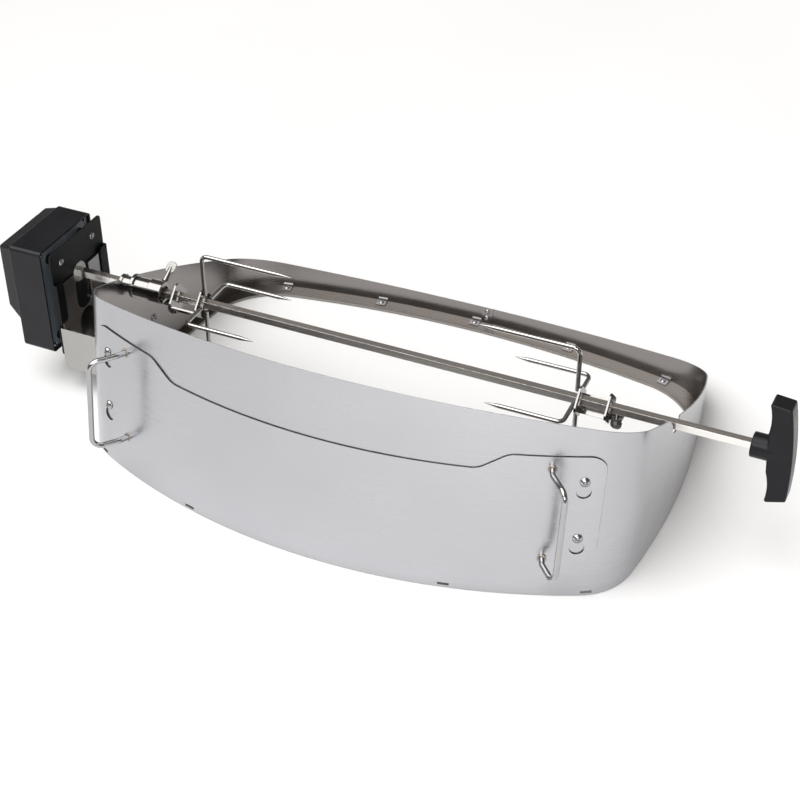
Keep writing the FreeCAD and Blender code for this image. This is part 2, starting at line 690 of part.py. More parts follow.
def make_output_gear():
    disc = gear(OUTPUT_TEETH, OUTPUT_MODULE, -410.5, -405.3, JOURNAL_RADIUS + 0.02)
    disc = turned(disc, V(1, 0, 0), -90)
    return moved(disc, OUTPUT_CENTRE)


def make_idler_gear():
    pinion = gear(IDLER_PINION_TEETH, OUTPUT_MODULE, -411.5, -404.9, 2.06, half_step=True)
    pinion = turned(pinion, V(1, 0, 0), 90)
    wheel = gear(IDLER_TEETH, IDLER_MODULE, -414.2, -411.5, 2.06, slack=0.15)
    wheel = turned(wheel, V(1, 0, 0), ROTOR_ANGLE)
    return moved(fuse([pinion, wheel]), IDLER_CENTRE)


def make_idler_pin():
    return moved(cylinder_x(GEAR_PLATE_X - 0.8, COVER_X - COVER_THICK - 0.1, 2.0), IDLER_CENTRE)


def make_gear_plate():
    plate = box(GEAR_PLATE_X, GEAR_PLATE_X + 1.2, SPIT_Y - 42, SPIT_Y + 42, 56, 163)
    plate = plate.cut(cylinder_x(GEAR_PLATE_X - 1, -400, JOURNAL_RADIUS + 0.05, SPIT_Y, SPIT_Z))
    plate = plate.cut(moved(cylinder_x(GEAR_PLATE_X - 1, -400, 2.02), IDLER_CENTRE))
    plate = plate.cut(moved(cylinder_x(GEAR_PLATE_X - 1, -400, 3.5), ROTOR_CENTRE))
    for y, z in pillar_spots():
        plate = plate.cut(cylinder_x(GEAR_PLATE_X - 1, -400, 1.6, y, z))
    return plate


def pillar_spots():
    return [(SPIT_Y + s * 38.0, z) for s in (-1, 1) for z in (60.0, 159.0)]


def make_gear_pillars():
    post = cylinder_x(GEAR_PLATE_X + 1.25, COVER_X - COVER_THICK - 0.05, 3.0)
    stem = cylinder_x(GEAR_PLATE_X - 0.8, GEAR_PLATE_X + 1.3, 1.55)
    return Part.makeCompound([moved(post.fuse(stem), V(0, y, z)) for y, z in pillar_spots()])


def make_stator():
    core = box(STATOR_X[0], STATOR_X[1], -20, 34, -16, 16)
    core = core.cut(box(STATOR_X[0] - 1, STATOR_X[1] + 1, 13.5, 27, -9, 9))
    core = core.cut(cylinder_x(STATOR_X[0] - 1, STATOR_X[1] + 1, 9.6))
    core = core.cut(box(STATOR_X[0] - 1, STATOR_X[1] + 1, 0, 20, -1.2, 1.2))
    return moved(turned(core, V(1, 0, 0), 180), ROTOR_CENTRE)


def make_stator_coil():
    coil = box(STATOR_X[0] - 0.4, STATOR_X[1] + 0.4, 15, 40.5, -8.6, 8.6)
    coil = coil.cut(box(STATOR_X[0] - 1, STATOR_X[1] + 1, 27.2 - 0.4, 34.2, -10, 10))
    return moved(turned(coil, V(1, 0, 0), 180), ROTOR_CENTRE)


def make_rotor():
    core = cylinder_x(STATOR_X[0] + 1.0, STATOR_X[1] + 0.3, 9.1)
    shaft = cylinder_x(STATOR_X[0] - 0.9, -410.6, 1.6)
    return moved(fuse([core, shaft]), ROTOR_CENTRE)


def make_rotor_pinion():
    pinion = gear(ROTOR_TEETH, IDLER_MODULE, -414.5, -410.8, 1.62, slack=0.15, half_step=True)
    pinion = turned(pinion, V(1, 0, 0), 180 + ROTOR_ANGLE)
    return moved(pinion, ROTOR_CENTRE)


def make_cord_gland():
    """The cord's strain relief: a flanged sleeve with a round bore and three grooves."""
    base = V(-418, SPIT_Y + 30, PLATE_BOTTOM)
    sleeve = Part.makeCylinder(6.0, 14, base - V(0, 0, 10))
    flange = Part.makeCylinder(8.5, 2, base - V(0, 0, 2.05))
    gland = fuse([sleeve, flange]).cut(Part.makeCylinder(3.6, 40, base - V(0, 0, 20)))
    for i in range(3):
        groove = Part.makeCylinder(7, 0.9, base - V(0, 0, 4.2 + 2.0 * i))
        gland = gland.cut(groove.cut(Part.makeCylinder(5.1, 40, base - V(0, 0, 20))))
    return gland


def switch_block(x0, x1, margin):
    """A block along X round the switch's opening."""
    w = SWITCH_HALF_WIDTH + margin
    h = SWITCH_HALF_HEIGHT + margin
    return box(x0, x1, SPIT_Y - w, SPIT_Y + w, SWITCH_Z - h, SWITCH_Z + h)


def make_switch_bezel():
    front = CASE_BULGE_X - 1.5
    sleeve = switch_block(front, CASE_BULGE_X + 12, 1.4)
    frame = switch_block(front, CASE_BULGE_X - 0.05, 3.0)
    bezel = fuse([sleeve, frame]).cut(switch_block(front - 1, CASE_BULGE_X + 10.5, 0))
    return bezel.cut(rocker_trunnion(1.55, SWITCH_HALF_WIDTH + 3))


def rocker_trunnion(radius, half_length):
    """The rocker's pivot along Y, which runs in holes through the bezel's sleeve."""
    pivot = V(CASE_BULGE_X + ROCKER_DEPTH, SPIT_Y - half_length, SWITCH_Z)
    return Part.makeCylinder(radius, 2 * half_length, pivot, V(0, 1, 0))


def make_rocker_switch():
    """The rocker's face is two flats that meet over the pivot; it rests tilted to off."""
    w = SWITCH_HALF_WIDTH - 0.4
    h = SWITCH_HALF_HEIGHT - 0.7
    profile = [V(0, -w, -h), V(3.5, -w, -h + 1.0), V(3.5, -w, h - 1.0), V(0, -w, h),
               V(-6.6, -w, h - 0.6), V(-5.4, -w, 0), V(-6.6, -w, -h + 0.6)]
    rocker = Part.Face(Part.makePolygon(profile + profile[:1])).extrude(V(0, 2 * w, 0))
    rocker = turned(rocker, V(0, 1, 0), -ROCKER_TILT)
    rocker = moved(rocker, V(CASE_BULGE_X + ROCKER_DEPTH, SPIT_Y, SWITCH_Z))
    return fuse([rocker, rocker_trunnion(1.5, SWITCH_HALF_WIDTH + 1.0)])


# ======================================================================= spit, bushing and handle
def square_bar(x0, x1, size):
    half = size / 2
    return box(x0, x1, SPIT_Y - half, SPIT_Y + half, SPIT_Z - half, SPIT_Z + half)


def make_spit_rod():
    rod = square_bar(SPIT_LEFT, SPIT_RIGHT, SPIT_SIZE)
    half = SPIT_SIZE / 2
    tip = Part.makeCone(half * 0.9, half * 1.6, 5.0, V(SPIT_LEFT, SPIT_Y, SPIT_Z), V(1, 0, 0))
    sleeve = box(SPIT_LEFT - 1, SPIT_LEFT + 5.0, SPIT_Y - 9, SPIT_Y + 9, SPIT_Z - 9, SPIT_Z + 9)
    return rod.cut(sleeve.cut(tip))


def make_spit_bushing():
    radii = (BUSHING_STOP, BUSHING_NECK, BUSHING_FLANGE, BUSHING_BODY, BUSHING_HEAD)
    steps = [cylinder_x(x0, x1, radius, SPIT_Y, SPIT_Z)
             for x0, x1, radius in zip(BUSHING_STEPS, BUSHING_STEPS[1:], radii)]
    bushing = fuse(steps)
    rounded = [e for e in bushing.Edges
               if isinstance(e.Curve, Part.Circle) and e.Curve.Radius > BUSHING_BODY + 0.1]
    bushing = bushing.makeFillet(0.6, rounded)
    end = BUSHING_STEPS[-1]
    bushing = bushing.cut(cylinder_x(BUSHING_STEPS[0] - 1, end + 1, BUSHING_BORE, SPIT_Y, SPIT_Z))
    bushing = bushing.cut(cylinder_x(end - 2.5, end + 1, BUSHING_COUNTERBORE, SPIT_Y, SPIT_Z))
    hole = turned(Part.makeCylinder(2.55, 40), V(1, 0, 0), BUSHING_SCREW_TILT - 90)
    return bushing.cut(moved(hole, V(BUSHING_SCREW_X, SPIT_Y, SPIT_Z)))


def thumb_screw(tip, neck, wing_centre, wing_width, wing_height):
    """A wing screw along +Z: threaded shank, cone neck and a flat oval wing, ribbed on both faces."""
    shank = Part.makeCylinder(2.5, neck - tip - 1.5, V(0, 0, tip + 1.5))
    point = Part.makeCone(0.8, 2.5, 1.5, V(0, 0, tip))
    cone = Part.makeCone(4.2, 2.5, wing_centre - neck, V(0, 0, neck))
    corner = min(wing_width, wing_height) * 0.94
    outline = [(V(x * wing_width, -WING_HALF_THICK, wing_centre + z * wing_height), corner)
               for x, z in ((-1, -1), (1, -1), (1, 1), (-1, 1))]
    wing = Part.Face(rounded_wire(outline, True)).extrude(V(0, 2 * WING_HALF_THICK, 0))
    wing = wing.makeFillet(0.7, [e for e in wing.Edges if e.BoundBox.YLength < 0.01])
    for i in range(-2, 3):
        middle = wing_centre + i * wing_height * 0.32
        for face in (-WING_HALF_THICK, WING_HALF_THICK):
            groove = box(-wing_width, wing_width, face - 0.35, face + 0.35, middle - 0.45, middle + 0.45)
            wing = wing.cut(groove)
    return fuse([shank, point, cone, wing])


def make_bushing_screw():
    screw = thumb_screw(5.25, BUSHING_HEAD + 0.4, 31.5, 6.0, 7.5)
    screw = turned(screw, V(1, 0, 0), BUSHING_SCREW_TILT - 90)
    return moved(screw, V(BUSHING_SCREW_X, SPIT_Y, SPIT_Z))


def make_handle_grip():
    """The T bar: an outer bulge, two finger hollows on the inner side, and the round boss."""
    h = GRIP_HALF_LENGTH
    outer_h = h - GRIP_END_SLOPE
    y0 = -GRIP_HALF_THICK
    inner = [V(GRIP_START, y0, h), V(GRIP_START + 2.6, y0, 0.72 * h), V(GRIP_START + 0.4, y0, 0.38 * h)]
    mirror_inner = [V(p.x, p.y, -p.z) for p in reversed(inner)]
    top = V(GRIP_END, y0, outer_h)
    bottom = V(GRIP_END, y0, -outer_h)
    edges = [Part.Arc(*inner).toShape(), Part.makeLine(inner[2], mirror_inner[0]),
             Part.Arc(*mirror_inner).toShape(), Part.makeLine(mirror_inner[2], bottom),
             Part.Arc(bottom, V(GRIP_END + GRIP_BULGE, y0, 0), top).toShape(),
             Part.makeLine(top, inner[0])]
    bar = Part.Face(Part.Wire(edges)).extrude(V(0, 2 * GRIP_HALF_THICK, 0))
    bar = bar.makeFillet(2.2, bar.Edges)
    pivot = V(GRIP_START + 3.4, 0, 0)
    bar = turned(turned(bar, V(0, 1, 0), -GRIP_LEAN, pivot), V(1, 0, 0), -GRIP_TURN)
    boss = cylinder_x(BOSS_START, GRIP_START + 8, BOSS_RADIUS)
    rim = min(boss.Edges, key=lambda e: e.CenterOfMass.x)
    boss = boss.makeFillet(1.5, [rim])
    grip = moved(fuse([bar, boss]), V(0, SPIT_Y, SPIT_Z))
    grip = grip.cut(square_bar(BOSS_START - 5, SPIT_RIGHT + 0.1, SPIT_SIZE + 0.1))
    return grip.cut(handle_pin(2.05))


def handle_pin(radius):
    return Part.makeCylinder(radius, 2 * BOSS_RADIUS - 2, V(BOSS_START + 9, SPIT_Y, SPIT_Z - BOSS_RADIUS + 1))


# ======================================================================= meat forks
def make_fork_bracket():
    """The right fork's channel: two square plates set on a corner, a web and a lug for the screw."""
    t = FORK_SHEET
    long = FORK_DIAGONAL - FORK_CORNER
    short = FORK_CORNER
    outline = [(short, long), (long, short), (long, -short), (short, -long),
               (-short, -long), (-long, -short), (-long, short), (-short, long)]

    def plate(x):
        points = [V(x, y, z - FORK_DROP) for y, z in outline]
        return Part.Face(Part.makePolygon(points + points[:1])).extrude(V(t, 0, 0))

    side = FORK_DIAGONAL / math.sqrt(2)
    half_side = (FORK_DIAGONAL - 2 * FORK_CORNER) / math.sqrt(2)
    web = box(FORK_SPIDER_X, FORK_PLATE_X + t, side - t, side, -half_side, half_side)
    web = moved(turned(web, V(1, 0, 0), -45), V(0, 0, -FORK_DROP))
    lug = box(FORK_PLATE_X, FORK_SCREW_X + 7, -7, 7, -TAB_DROP - t, -TAB_DROP)
    bracket = fuse([plate(FORK_SPIDER_X), plate(FORK_PLATE_X), web, lug])
    half = FORK_HOLE / math.sqrt(2)
    hole = turned(box(FORK_SPIDER_X - 5, FORK_PLATE_X + t + 1, -half, half, -half, half), V(1, 0, 0), 45)
    bracket = bracket.cut(moved(hole, V(0, 0, -0.4)))
    bracket = bracket.cut(Part.makeCylinder(2.55, 20, V(FORK_SCREW_X, 0, -20)))
    return moved(bracket, V(0, SPIT_Y, SPIT_Z))


def make_fork_tines():
    """Four bent prongs on the inner plate: a long vertical pair and a short level pair."""
    tines = []
    x = FORK_SPIDER_X - TINE_RADIUS - 0.05
    for angle in (0, 90, 180, 270):
        spread, length = TINE_LONG if angle in (90, 270) else TINE_SHORT
        neck = V(x - length + TINE_POINT, spread, 0)
        shaft = wire_rod([(V(x, TINE_ROOT, 0), 0), (V(x, spread, 0), 7), (neck, 0)], TINE_RADIUS)
        point = Part.makeCone(TINE_RADIUS, 0.35, TINE_POINT, neck, V(-1, 0, 0))
        tine = fuse([shaft, point])
        tines.append(moved(turned(tine, V(1, 0, 0), angle), V(0, SPIT_Y, SPIT_Z)))
    return Part.makeCompound(tines)


def make_fork_screw():
    screw = thumb_screw(SPIT_SIZE / 2 + 0.1, TAB_DROP + FORK_SHEET + 0.5, 19.0, 6.0, 5.5)
    screw = turned(screw, V(1, 0, 0), 180)
    return moved(screw, V(FORK_SCREW_X, SPIT_Y, SPIT_Z))


def on_left(shape):
    """The left fork is the right one turned half round the vertical, a little further out."""
    half_turn = turned(shape, V(0, 0, 1), 180, V(0, SPIT_Y, 0))
    return moved(half_turn, V(-LEFT_FORK_OUT, 0, 0))


# ======================================================================= write every node
def build():
    fork = {"bracket": make_fork_bracket(), "tines": make_fork_tines(), "thumb_screw": make_fork_screw()}
    nodes = {
        "collar": make_collar(),
        "seam_rivets": make_seam_rivets(),
        "seat_ring": make_seat_ring(),
        "seat_ring_screws": make_seat_screws(),
        "front_panel": make_front_panel(),
        "panel_handle_left": make_panel_handle(-1),
        "panel_handle_right": make_panel_handle(1),
        "panel_screws": make_panel_screws(),
        "panel_nuts": make_panel_nuts(),
        "motor_bracket": make_motor_bracket(),
        "bracket_bolts": make_bracket_bolts(),
        "bracket_nuts": make_bracket_nuts(),
        "motor_plate": make_motor_plate(),
        "plate_screws": make_plate_screws(),
        "plate_spacers": make_plate_spacers(),
        "motor_case": make_motor_case(),
        "motor_cover": make_motor_cover(),
        "case_screws": make_case_screws(),
        "hub_bearing": make_hub_bearing(),
        "drive_hub": make_drive_hub(),
        "output_gear": make_output_gear(),
        "idler_gear": make_idler_gear(),
        "idler_pin": make_idler_pin(),
        "gear_plate": make_gear_plate(),
        "gear_pillars": make_gear_pillars(),
        "stator_core": make_stator(),
        "stator_coil": make_stator_coil(),
        "rotor": make_rotor(),
        "rotor_pinion": make_rotor_pinion(),
        "cord_gland": make_cord_gland(),
        "switch_bezel": make_switch_bezel(),
        "rocker_switch": make_rocker_switch(),
        "spit_rod": make_spit_rod(),
        "spit_bushing": make_spit_bushing(),
        "bushing_thumb_screw": make_bushing_screw(),
        "handle_grip": make_handle_grip(),
        "handle_pin": handle_pin(2.0).cut(square_bar(300, 420, SPIT_SIZE)),
    }
    for piece, shape in fork.items():
        nodes["right_fork_" + piece] = shape
        nodes["left_fork_" + piece] = on_left(shape)
    os.makedirs("parts", exist_ok=True)
    for name, shape in nodes.items():
        placed = moved(shape, MODEL_SHIFT)
        placed.exportStep("parts/" + name + ".step")
        low = placed.BoundBox
        print("%-22s valid %s solids %d volume %.0f  x %.1f %.1f  y %.1f %.1f  z %.1f %.1f" % (
            name, placed.isValid(), len(placed.Solids), placed.Volume,
            low.XMin, low.XMax, low.YMin, low.YMax, low.ZMin, low.ZMax))


build()
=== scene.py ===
import math

import bmesh
import bpy
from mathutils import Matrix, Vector


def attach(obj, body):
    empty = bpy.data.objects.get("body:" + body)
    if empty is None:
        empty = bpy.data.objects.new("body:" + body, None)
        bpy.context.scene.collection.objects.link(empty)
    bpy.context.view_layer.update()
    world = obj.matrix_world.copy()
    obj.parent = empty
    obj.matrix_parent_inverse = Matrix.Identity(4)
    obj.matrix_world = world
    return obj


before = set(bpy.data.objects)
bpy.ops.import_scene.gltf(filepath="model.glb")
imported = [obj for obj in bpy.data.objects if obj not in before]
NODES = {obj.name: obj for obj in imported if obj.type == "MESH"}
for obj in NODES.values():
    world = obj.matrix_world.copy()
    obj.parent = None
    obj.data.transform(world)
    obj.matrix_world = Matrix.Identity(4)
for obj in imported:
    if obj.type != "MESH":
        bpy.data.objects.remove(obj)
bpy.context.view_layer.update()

# Rotisserie spit roaster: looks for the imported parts, in metres, in the parts' own frame.
WHITE = (1.0, 1.0, 1.0)


# ======================================================================= shader building
def set_stops(color_ramp, stops):
    """Give a colour ramp these (position, colour) stops, and no others."""
    elements = color_ramp.elements
    while len(elements) < len(stops):
        elements.new(0.5)
    for element, (position, colour) in zip(elements, stops):
        element.position = position
        element.color = (*colour, 1.0)


class Shader:
    """A node-built material with the few building blocks the finishes share."""

    def __init__(self, name):
        self.material = bpy.data.materials.new(name)
        self.material.use_nodes = True
        self.tree = self.material.node_tree
        self.tree.nodes.clear()
        self.output = self.add("ShaderNodeOutputMaterial")
        self.bsdf = self.add("ShaderNodeBsdfPrincipled")
        self.link(self.bsdf.outputs[0], self.output.inputs["Surface"])
        self.place = self.add("ShaderNodeTexCoord").outputs["Object"]

    def add(self, kind, **settings):
        node = self.tree.nodes.new(kind)
        for key, value in settings.items():
            setattr(node, key, value)
        return node

    def link(self, source, target):
        self.tree.links.new(source, target)

    def feed(self, socket, value):
        if isinstance(value, bpy.types.NodeSocket):
            self.link(value, socket)
        else:
            socket.default_value = value

    def set(self, **values):
        for key, value in values.items():
            socket = self.bsdf.inputs[key.replace("_", " ")]
            if isinstance(value, (tuple, list)) and len(value) == 3 and socket.type == "RGBA":
                value = (*value, 1.0)
            self.feed(socket, value)

    def stretched(self, scale):
        mapping = self.add("ShaderNodeMapping")
        self.link(self.place, mapping.inputs["Vector"])
        mapping.inputs["Scale"].default_value = scale
        return mapping.outputs[0]

    def noise(self, scale, detail=2.0, rough=0.5, where=None):
        node = self.add("ShaderNodeTexNoise")
        self.feed(node.inputs["Vector"], where or self.place)
        node.inputs["Scale"].default_value = scale
        node.inputs["Detail"].default_value = detail
        node.inputs["Roughness"].default_value = rough
        node.inputs["Distortion"].default_value = 0.0
        return node.outputs["Fac"]

    def ramp(self, value, stops):
        node = self.add("ShaderNodeValToRGB")
        set_stops(node.color_ramp, stops)
        self.feed(node.inputs["Fac"], value)
        return node.outputs["Color"]

    def math(self, operation, a, b=0.0):
        node = self.add("ShaderNodeMath", operation=operation)
        self.feed(node.inputs[0], a)
        self.feed(node.inputs[1], b)
        return node.outputs[0]

    def remap(self, value, low, high, to_low, to_high):
        node = self.add("ShaderNodeMapRange", clamp=True)
        self.feed(node.inputs["Value"], value)
        limits = (("From Min", low), ("From Max", high), ("To Min", to_low), ("To Max", to_high))
        for socket, number in limits:
            node.inputs[socket].default_value = number
        return node.outputs[0]

    def mix(self, fac, a, b, blend="MIX"):
        """Blend two colours, each a value or a node's output."""
        node = self.add("ShaderNodeMix", data_type="RGBA", blend_type=blend)
        self.feed(node.inputs["Factor"], fac)
        for socket, value in (("A", a), ("B", b)):
            target = [s for s in node.inputs if s.name == socket and s.type == "RGBA"][0]
            if not isinstance(value, bpy.types.NodeSocket):
                value = (*value, 1.0)
            self.feed(target, value)
        return [s for s in node.outputs if s.type == "RGBA"][0]

    def bump(self, height, strength, distance, normal):
        node = self.add("ShaderNodeBump")
        node.inputs["Strength"].default_value = strength
        node.inputs["Distance"].default_value = distance
        self.feed(node.inputs["Height"], height)
        self.link(normal, node.inputs["Normal"])
        return node.outputs[0]

    def rounded(self, radius):
        """The normal as if every sharp edge had this radius."""
        node = self.add("ShaderNodeBevel", samples=4)
        node.inputs["Radius"].default_value = radius
        return node.outputs[0]

    def edge_wear(self, radius, low=0.03, high=0.2):
        """White where the surface turns sharply within the radius."""
        geometry = self.add("ShaderNodeNewGeometry").outputs["Normal"]
        node = self.add("ShaderNodeVectorMath", operation="DOT_PRODUCT")
        self.link(self.rounded(radius), node.inputs[0])
        self.link(geometry, node.inputs[1])
        turn = self.math("SUBTRACT", 1.0, node.outputs["Value"])
        return self.remap(turn, low, high, 0.0, 1.0)


def local_point(node, point):
    return NODES[node].matrix_world.inverted() @ Vector(point)


def heat_tint(points, reach):
    """A straw and brown ring in the steel round each welded foot."""
    def tint(s, base):
        for point in points:
            away = s.add("ShaderNodeVectorMath", operation="DISTANCE")
            s.link(s.place, away.inputs[0])
            away.inputs[1].default_value = tuple(point)
            wobble = s.math("MULTIPLY", s.noise(160.0, 2.0, 0.5), reach * 0.35)
            near = s.math("ADD", away.outputs["Value"], wobble)
            ring = s.remap(near, reach * 0.55, reach * 1.25, 1.0, 0.0)
            hue = s.ramp(ring, [(0.0, WHITE), (0.35, (0.93, 0.86, 0.76)),
                                (0.7, (0.60, 0.47, 0.38)), (1.0, (0.36, 0.31, 0.30))])
            base = s.mix(1.0, base, hue, "MULTIPLY")
        return base
    return tint


def shaded_edge_mask(s, lowest):
    """White on the sheet edges that face up or down, above a height: the mask for painted dark reflection
    and painted shade.
    """
    facing = s.add("ShaderNodeSeparateXYZ")
    s.link(s.add("ShaderNodeNewGeometry").outputs["Normal"], facing.inputs[0])
    height = s.add("ShaderNodeSeparateXYZ")
    s.link(s.place, height.inputs[0])
    level = s.remap(s.math("ABSOLUTE", facing.outputs["Z"]), 0.25, 0.4, 0.0, 1.0)
    return s.math("MULTIPLY", level, s.math("GREATER_THAN", height.outputs["Z"], lowest))


CHROME_EDGE = 0.0004
WORN_EDGE = 0.0009
MOULDED_EDGE = 0.0006
# Multiplier for up- and down-facing edges: painted reflection of the dark room and painted shade.
EDGE_PAINTED_SHADE = (0.2, 0.2, 0.21)
FINE_GRAIN = (9.0, 9.0, 4200.0)


def brushed_steel(name, colour, roughness, grain, stretch, tangent=None, smudge=0.05, tint=None,
                  inside=None, shade_edges_above=None, edge=0.0005):
    """Sheet steel with a fine grain, faint smudges, and painted shade, a darker browner tint, on its
    inner face.
    """
    s = Shader(name)
    fine = s.noise(1.0, 3.0, 0.6, s.stretched(stretch))
    coarse = s.noise(1.0, 2.0, 0.5, s.stretched(tuple(v * 0.3 for v in stretch)))
    cloud = s.noise(9.0, 3.0, 0.55)
    streak = s.math("ADD", s.math("MULTIPLY", fine, 0.8), s.math("MULTIPLY", coarse, 0.2))
    dark = tuple(c * (1 - grain) for c in colour)
    light = tuple(min(1.0, c * (1 + grain)) for c in colour)
    base = s.ramp(streak, [(0.3, dark), (0.7, light)])
    shade = s.ramp(cloud, [(0.3, (1 - smudge,) * 3), (0.7, WHITE)])
    base = s.mix(1.0, base, shade, "MULTIPLY")
    # Faces turned towards the collar's axis are tinted darker and browner: painted shade for the
    # interior.
    if inside:
        outwards = s.add("ShaderNodeVectorMath", operation="DOT_PRODUCT")
        s.link(s.add("ShaderNodeNewGeometry").outputs["Normal"], outwards.inputs[0])
        s.link(s.place, outwards.inputs[1])
        facing_in = s.remap(outwards.outputs["Value"], -0.02, 0.005, 1.0, 0.0)
        base = s.mix(facing_in, base, s.mix(1.0, base, inside, "MULTIPLY"))
    if tint:
        base = tint(s, base)
    # Edges facing up or down are darkened here: painted reflection and painted shade.
    if shade_edges_above is not None:
        base = s.mix(shaded_edge_mask(s, shade_edges_above), base, s.mix(1.0, base, EDGE_PAINTED_SHADE, "MULTIPLY"))
    rough = s.math("ADD", s.remap(streak, 0.3, 0.7, roughness - 0.04, roughness + 0.04),
                   s.remap(cloud, 0.3, 0.7, -0.02, 0.04))
    s.set(Base_Color=base, Metallic=1.0, Roughness=rough,
          Normal=s.bump(streak, 0.06, 0.0001, s.rounded(edge)))
    if tangent:
        s.set(Anisotropic=0.5)
        node = s.add("ShaderNodeTangent", direction_type="RADIAL", axis=tangent)
        s.link(node.outputs[0], s.bsdf.inputs["Tangent"])
    return s.material


def chrome(name, colour, roughness, specks=0.06):
    """Polished or plated metal, faintly clouded, with softened edges."""
    s = Shader(name)
    cloud = s.noise(60.0, 3.0, 0.6)
    fine = s.noise(900.0, 2.0, 0.5)
    base = s.ramp(cloud, [(0.3, tuple(c * (1 - specks) for c in colour)), (0.65, colour)])
    rough = s.remap(cloud, 0.3, 0.75, roughness, roughness + 0.06)
    wave = s.math("ADD", s.math("MULTIPLY", cloud, 0.8), s.math("MULTIPLY", fine, 0.2))
    s.set(Base_Color=base, Metallic=1.0, Roughness=rough,
          Normal=s.bump(wave, 0.08, 0.0002, s.rounded(CHROME_EDGE)))
    return s.material


def moulded(name, colour, worn, roughness, texture, specular=0.5):
    """Moulded plastic, rubber or paint: fine texture, faint dust, and paler worn edges."""
    s = Shader(name)
    cloud = s.noise(22.0, 4.0, 0.6)
    grain = s.noise(texture, 2.0, 0.6)
    edge = s.edge_wear(WORN_EDGE)
    base = s.ramp(cloud, [(0.3, tuple(c * 0.8 for c in colour)), (0.75, tuple(c * 1.35 for c in colour))])
    base = s.mix(s.math("MULTIPLY", edge, s.remap(cloud, 0.35, 0.65, 0.25, 0.8)), base, worn)
    rough = s.math("ADD", s.remap(cloud, 0.3, 0.7, roughness - 0.05, roughness + 0.06),
                   s.remap(grain, 0.3, 0.7, -0.03, 0.03))
    s.set(Base_Color=base, Roughness=rough, Specular_IOR_Level=specular,
          Normal=s.bump(grain, 0.2, 0.0002, s.rounded(MOULDED_EDGE)))
    return s.material


FOOT_DEPTH = 0.0035


def handle_feet(node):
    """Where the two legs of a panel handle meet the panel, upper leg first."""
    world = NODES[node].matrix_world
    points = [world @ v.co for v in NODES[node].data.vertices]
    middle = sum(p.z for p in points) / len(points)
    feet = []
    for upper in (True, False):
        leg = [p for p in points if (p.z > middle) == upper]
        back = max(p.y for p in leg)
        ring = [p for p in leg if p.y > back - FOOT_DEPTH]
        feet.append(sum(ring, Vector()) / len(ring))
    return feet


HANDLES = ("panel_handle_left", "panel_handle_right")
FEET = [(node, foot) for node in HANDLES for foot in handle_feet(node)]
HEAT_REACH = 0.006
PANEL_FEET = [local_point("front_panel", foot) for _, foot in FEET]

STEEL = (0.462, 0.463, 0.482)
# Multiplier for the inward faces of the sheet: painted shade, not a different finish.
INNER_FACE_PAINTED_SHADE = (0.62, 0.583, 0.545)
wall_steel = brushed_steel("steel_wall", STEEL, 0.24, 0.035, FINE_GRAIN, "Z",
                            inside=INNER_FACE_PAINTED_SHADE, shade_edges_above=0.015, edge=0.0003)
panel_steel = brushed_steel("steel_panel", (0.47, 0.472, 0.494), 0.24, 0.035, FINE_GRAIN, "Z",
                            tint=heat_tint(PANEL_FEET, HEAT_REACH), inside=INNER_FACE_PAINTED_SHADE, shade_edges_above=-1.0,
                            edge=0.00012)
# The seat ring's dark brown colour is the wall steel with the inner-face painted shade multiplied in.
ring_steel = brushed_steel("steel_ring", (0.29, 0.272, 0.255), 0.28, 0.03, (12.0, 2400.0, 30.0))
bracket_steel = brushed_steel("steel_bracket", (0.42, 0.41, 0.40), 0.16, 0.03, (10.0, 3200.0, 40.0))
rod_steel = brushed_steel("steel_spit", (0.88, 0.855, 0.825), 0.24, 0.05, (8.0, 3200.0, 3200.0))
bright = chrome("polished_steel", (0.40, 0.397, 0.402), 0.09)
plated = chrome("chrome_plate", (0.45, 0.44, 0.425), 0.07)
# A darker copy of the plated chrome for the bushing, fork brackets and thumb screws: painted shade
# standing in for the dark reflections on them.
chrome_painted_shade = chrome("chrome_painted_shade", (0.27, 0.262, 0.255), 0.08)
zinc = chrome("zinc_plate", (0.52, 0.52, 0.50), 0.28)
iron = chrome("laminated_iron", (0.17, 0.17, 0.18), 0.4)
copper = chrome("copper_winding", (0.55, 0.22, 0.10), 0.35)
bronze = chrome("sintered_bronze", (0.48, 0.33, 0.16), 0.38)
bead = chrome("weld_bead", (0.34, 0.31, 0.285), 0.28, 0.25)
coat = moulded("powder_coat", (0.004, 0.0048, 0.0055), (0.022, 0.024, 0.026), 0.36, 1100.0, 0.14)
plastic = moulded("case_plastic", (0.0085, 0.009, 0.0115), (0.05, 0.052, 0.058), 0.30, 1500.0, 0.25)
grip_plastic = moulded("grip_plastic", (0.0065, 0.007, 0.0085), (0.035, 0.035, 0.039), 0.32, 1300.0, 0.22)
cover_paint = moulded("cover_paint", (0.13, 0.155, 0.18), (0.16, 0.18, 0.2), 0.34, 900.0)
rocker_plastic = moulded("rocker_gloss", (0.012, 0.012, 0.013), (0.05, 0.05, 0.05), 0.2, 700.0)
rubber = moulded("gland_rubber", (0.012, 0.012, 0.012), (0.03, 0.03, 0.03), 0.65, 1600.0, 0.3)
nylon = moulded("nylon_gear", (0.72, 0.69, 0.6), (0.8, 0.78, 0.7), 0.4, 900.0)

